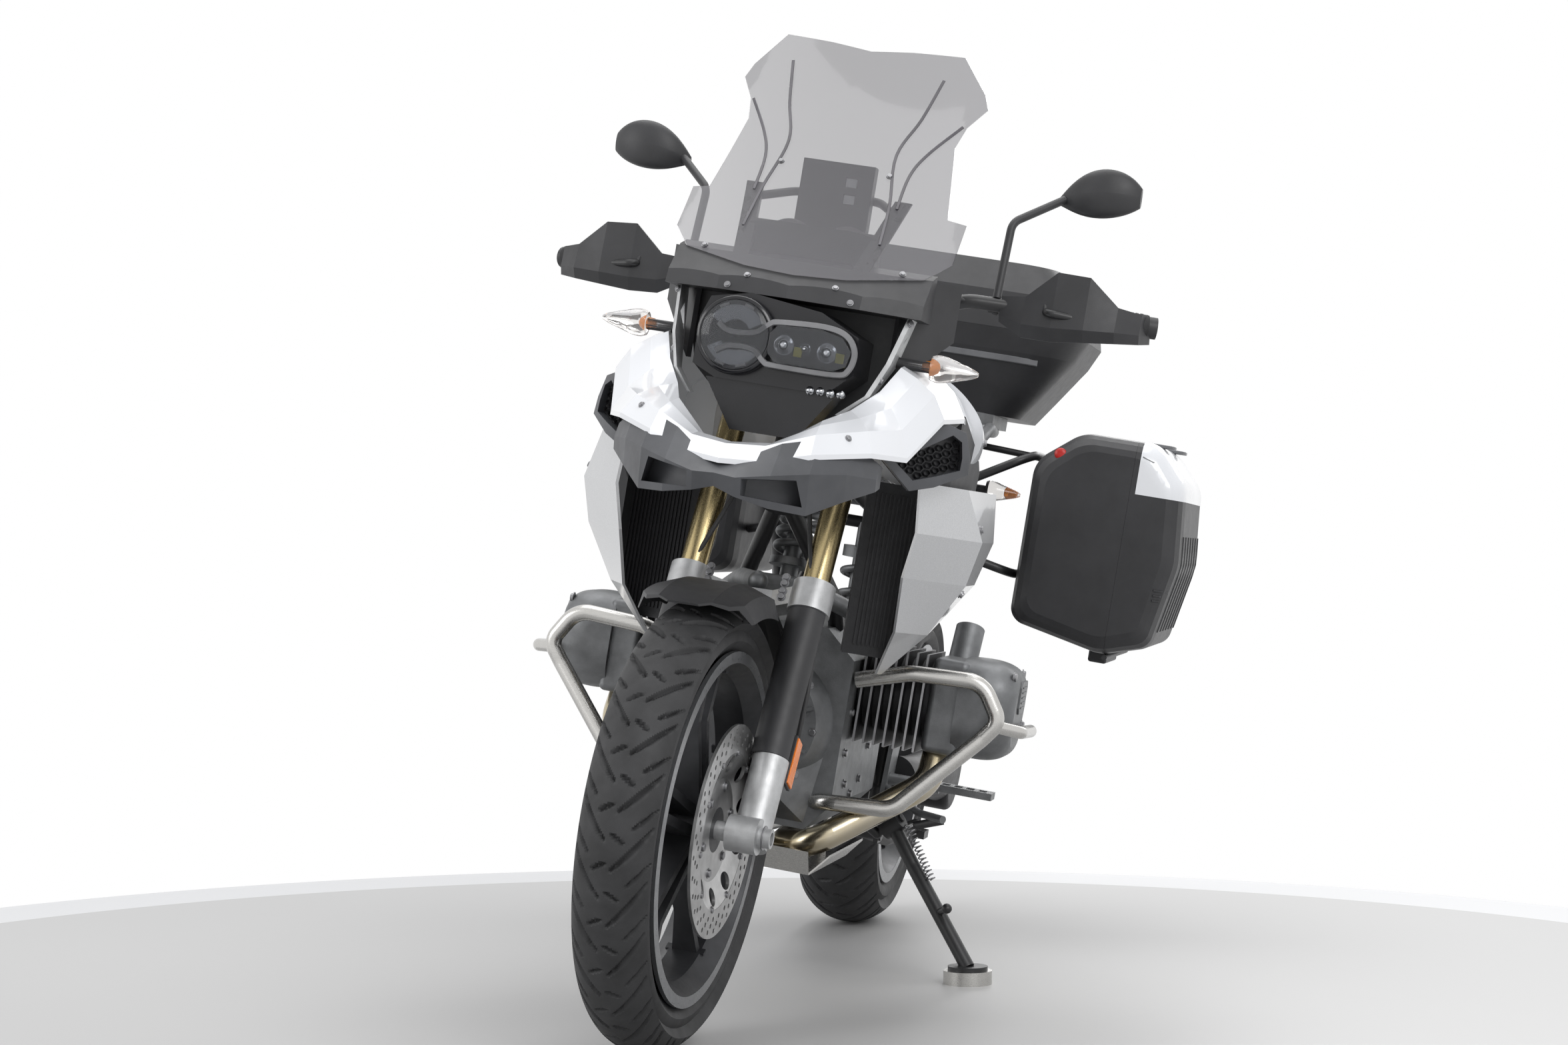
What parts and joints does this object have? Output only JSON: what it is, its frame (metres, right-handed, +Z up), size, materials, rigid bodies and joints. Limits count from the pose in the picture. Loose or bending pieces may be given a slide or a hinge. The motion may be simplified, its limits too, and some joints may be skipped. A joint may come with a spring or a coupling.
{
  "type": "adventure motorcycle",
  "caption": "Two-wheeled adventure motorcycle with opposed cylinders, tall smoked screen, dark beak, crash bars and hard cases, leaning on its side stand.",
  "frame": {"origin": "centre of the bounding box on the floor", "axes": "+Z up, forward is -Y, the rider's left is +X"},
  "size_m": [1.0866, 2.1922, 1.5165],
  "materials": {
    "painted_white": "glossy white paint",
    "silver_paint": "satin silver paint",
    "dark_plastic": "fine grained black plastic",
    "grey_plastic": "dark grey moulded plastic",
    "smoke_glass": "smoked clear",
    "lamp_glass": "clear lens over dark housing",
    "signal_lens": "clear lens with amber inside",
    "cast_aluminium": "cast, matt",
    "black_engine": "black coated casting",
    "stainless": "brushed stainless",
    "gold_tube": "gold anodised",
    "light_casting": "light grey casting",
    "black_steel": "black coated steel",
    "wheel_cast": "dark grey cast wheel",
    "disc_steel": "ground steel",
    "tyre": "road rubber",
    "seat_cover": "grained seat cover"
  },
  "bodies": {
    "root": {"engine_case": "cast_aluminium", "cylinders": "black_engine", "cylinder_heads": "cast_aluminium", "frame": "black_steel", "radiators": "black_engine", "tank_cover": "painted_white", "nose_panel": "painted_white", "beak": "grey_plastic", "headlamp": "lamp_glass", "lamp_brackets": "light_casting", "windscreen": "smoke_glass", "screen_supports": "dark_plastic", "cockpit": "dark_plastic", "radiator_shrouds": "silver_paint", "side_panels": "dark_plastic", "signal_lamps": "signal_lens", "rider_seat": "seat_cover", "pillion_seat": "seat_cover", "rear_rack": "cast_aluminium", "case_carriers": "black_steel", "side_case_left": "dark_plastic", "side_case_right": "dark_plastic", "top_case": "dark_plastic", "engine_guards": "stainless", "skid_plate": "stainless", "exhaust": "stainless", "front_arm": "cast_aluminium", "suspension_struts": "cast_aluminium", "swingarm": "black_engine", "footpegs": "cast_aluminium", "rear_mudguard": "dark_plastic"},
    "steering": {"fork_tubes": "gold_tube", "fork_sliders": "light_casting", "front_mudguard": "dark_plastic", "handlebar": "black_steel", "handguards": "dark_plastic", "mirrors": "dark_plastic", "brake_calipers": "black_engine"},
    "front_wheel": {"front_rim": "wheel_cast", "front_tyre": "tyre", "front_discs": "disc_steel"},
    "rear_wheel": {"rear_rim": "wheel_cast", "rear_tyre": "tyre", "rear_disc": "disc_steel"},
    "side_stand": {"side_stand": "black_steel", "stand_puck": "stainless"},
    "centre_stand": {"centre_stand": "black_steel"},
    "left_lid": {"side_case_left_lid": "dark_plastic"},
    "right_lid": {"side_case_right_lid": "dark_plastic"},
    "top_lid": {"top_case_lid": "dark_plastic"}
  },
  "joints": [
    {"name": "steering", "type": "hinge", "parent": "root", "child": "steering", "pos_m": [0.00524, -0.48093, 0.80056], "axis": [0.1503, 0.4334, 0.8886], "range_deg": [-36.5, 43.5]},
    {"name": "front_wheel_spin", "type": "hinge", "parent": "steering", "child": "front_wheel", "pos_m": [-0.07887, -0.771, 0.32179], "axis": [0.9886, -0.055, -0.1404], "continuous": true},
    {"name": "rear_wheel_spin", "type": "hinge", "parent": "root", "child": "rear_wheel", "pos_m": [-0.07697, 0.73591, 0.31483], "axis": [0.986, 0, -0.1668], "continuous": true},
    {"name": "side_stand_fold", "type": "hinge", "parent": "root", "child": "side_stand", "pos_m": [0.08301, 0.02893, 0.2531], "axis": [0.8243, -0.1762, 0.5381], "range_deg": [0, 92]},
    {"name": "centre_stand_fold", "type": "hinge", "parent": "root", "child": "centre_stand", "pos_m": [-0.08878, 0.16693, 0.24487], "axis": [-0.986, 0, 0.1668], "range_deg": [0, 98]},
    {"name": "left_lid_hinge", "type": "hinge", "parent": "root", "child": "left_lid", "pos_m": [0.4003, 0.59986, 0.52109], "axis": [0, 1, 0.0003], "range_deg": [0, 60]},
    {"name": "right_lid_hinge", "type": "hinge", "parent": "root", "child": "right_lid", "pos_m": [-0.45984, 0.59981, 0.66658], "axis": [0, -1, -0.0003], "range_deg": [0, 60]},
    {"name": "top_lid_hinge", "type": "hinge", "parent": "root", "child": "top_lid", "pos_m": [0.06421, 0.61668, 1.1495], "axis": [0.986, 0, -0.1668], "range_deg": [0, 70]}
  ]
}
